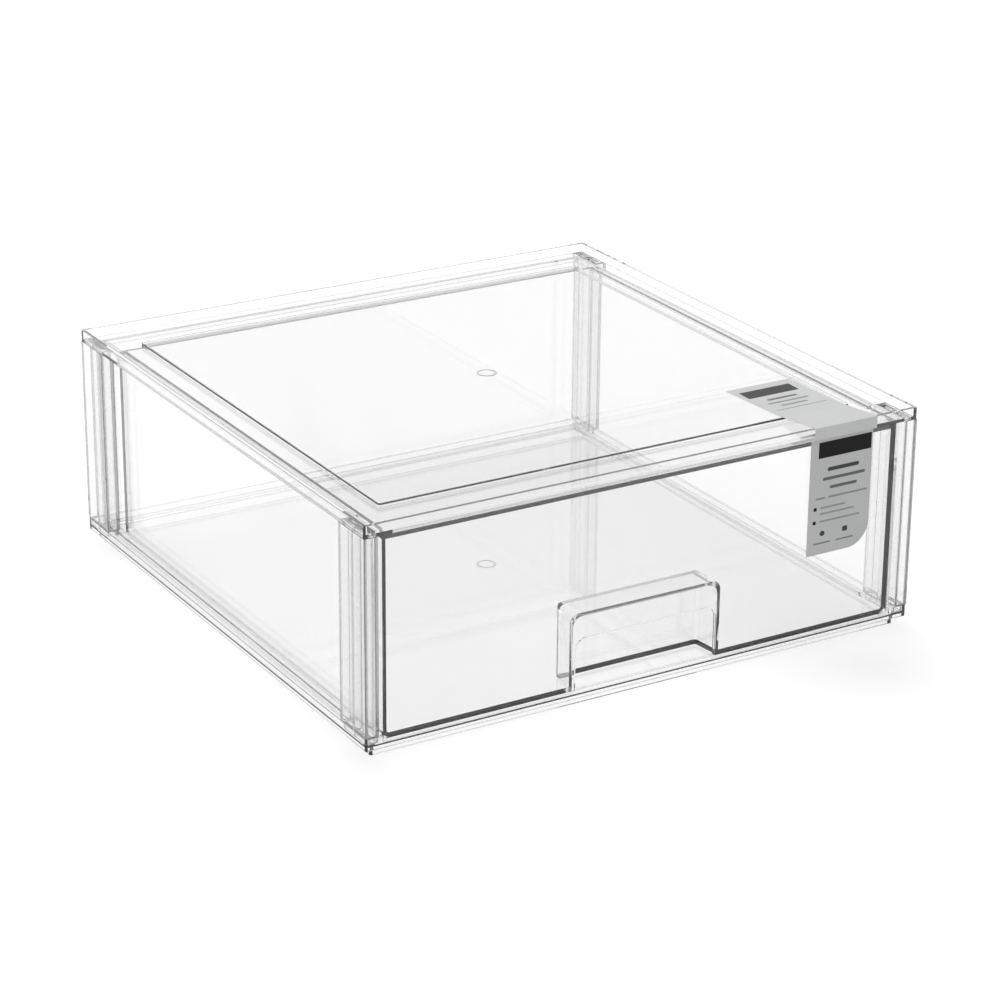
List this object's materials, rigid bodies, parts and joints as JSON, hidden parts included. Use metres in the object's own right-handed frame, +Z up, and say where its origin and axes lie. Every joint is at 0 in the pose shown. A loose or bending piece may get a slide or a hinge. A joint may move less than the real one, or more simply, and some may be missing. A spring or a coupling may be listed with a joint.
{
  "type": "stackable drawer box",
  "caption": "Clear square drawer box on hollow corner posts, with a pull-out drawer with finger pull, a stacking recess on top and a foot ring below.",
  "frame": {"origin": "middle of the footprint, on the surface the box stands on", "axes": "+Z up, -Y the front where the drawer comes out, +X to the right seen from the front"},
  "size_m": [0.365, 0.365, 0.138],
  "materials": {
    "clear_plastic": "clear, polished",
    "drawer_plastic": "clear, polished",
    "label_paper": "smooth, silver grey"
  },
  "bodies": {
    "casing": {"top_panel": "clear_plastic", "base_panel": "clear_plastic", "post_front_left": "clear_plastic", "post_front_right": "clear_plastic", "post_back_left": "clear_plastic", "post_back_right": "clear_plastic", "side_panel_left": "clear_plastic", "side_panel_right": "clear_plastic", "back_panel": "clear_plastic", "label_top": "label_paper"},
    "drawer_body": {"drawer": "drawer_plastic", "label_front": "label_paper"}
  },
  "joints": [
    {"name": "drawer_slide", "type": "slide", "parent": "casing", "child": "drawer_body", "axis": [0, -1, 0], "range_m": [0, 0.24]}
  ]
}
